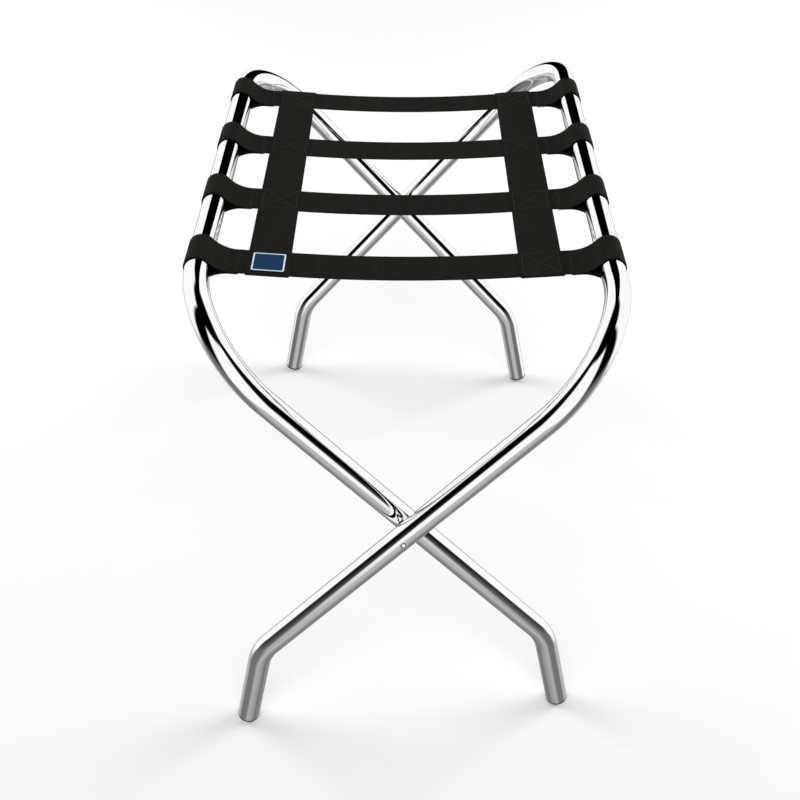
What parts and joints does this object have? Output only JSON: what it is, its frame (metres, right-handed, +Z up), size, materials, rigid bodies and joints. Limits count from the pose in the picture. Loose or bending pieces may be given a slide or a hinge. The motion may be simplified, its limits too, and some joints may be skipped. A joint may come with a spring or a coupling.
{
  "type": "folding luggage rack",
  "caption": "Folding luggage rack of two crossed bent chrome tube frames on rivets, with black webbing straps between its rails.",
  "frame": {"origin": "on the floor, under the middle of the rack", "axes": "+X across the rack to the rail of the outer frame, +Y along the rails from the label's end to the rear, +Z up"},
  "size_m": [0.3832, 0.6266, 0.5021],
  "materials": {
    "chromed_tube": "mirror chrome plate on bent steel tube",
    "rivet_steel": "nickel plated, lightly satin",
    "washer_plastic": "black nylon",
    "foot_plastic": "dark grey moulded plastic",
    "webbing": "black ribbed webbing",
    "thread": "black polyester thread",
    "label_cloth": "navy woven cloth with a pale woven border",
    "label_thread": "white polyester thread"
  },
  "bodies": {
    "inner": {"inner_frame": "chromed_tube", "inner_front_foot_cap": "foot_plastic", "inner_rear_foot_cap": "foot_plastic", "front_cross_strap": "webbing", "front_middle_cross_strap": "webbing", "rear_middle_cross_strap": "webbing", "rear_cross_strap": "webbing", "left_long_strap": "webbing", "right_long_strap": "webbing", "left_crossing_stitches": "thread", "right_crossing_stitches": "thread", "left_loop_stitches": "thread", "right_loop_stitches": "thread", "label": "label_cloth", "label_stitches": "label_thread"},
    "outer": {"outer_frame": "chromed_tube", "outer_front_foot_cap": "foot_plastic", "outer_rear_foot_cap": "foot_plastic", "front_pivot_rivet": "rivet_steel", "rear_pivot_rivet": "rivet_steel", "front_pivot_washer": "washer_plastic", "rear_pivot_washer": "washer_plastic"}
  },
  "joints": [
    {"name": "fold", "type": "hinge", "parent": "inner", "child": "outer", "pos_m": [0, 0, 0.279], "axis": [0, -1, 0], "range_deg": [0, 70], "deforming": ["front_cross_strap", "front_middle_cross_strap", "rear_middle_cross_strap", "rear_cross_strap", "left_long_strap", "right_long_strap", "left_crossing_stitches", "right_crossing_stitches", "left_loop_stitches", "right_loop_stitches", "label", "label_stitches"]}
  ]
}
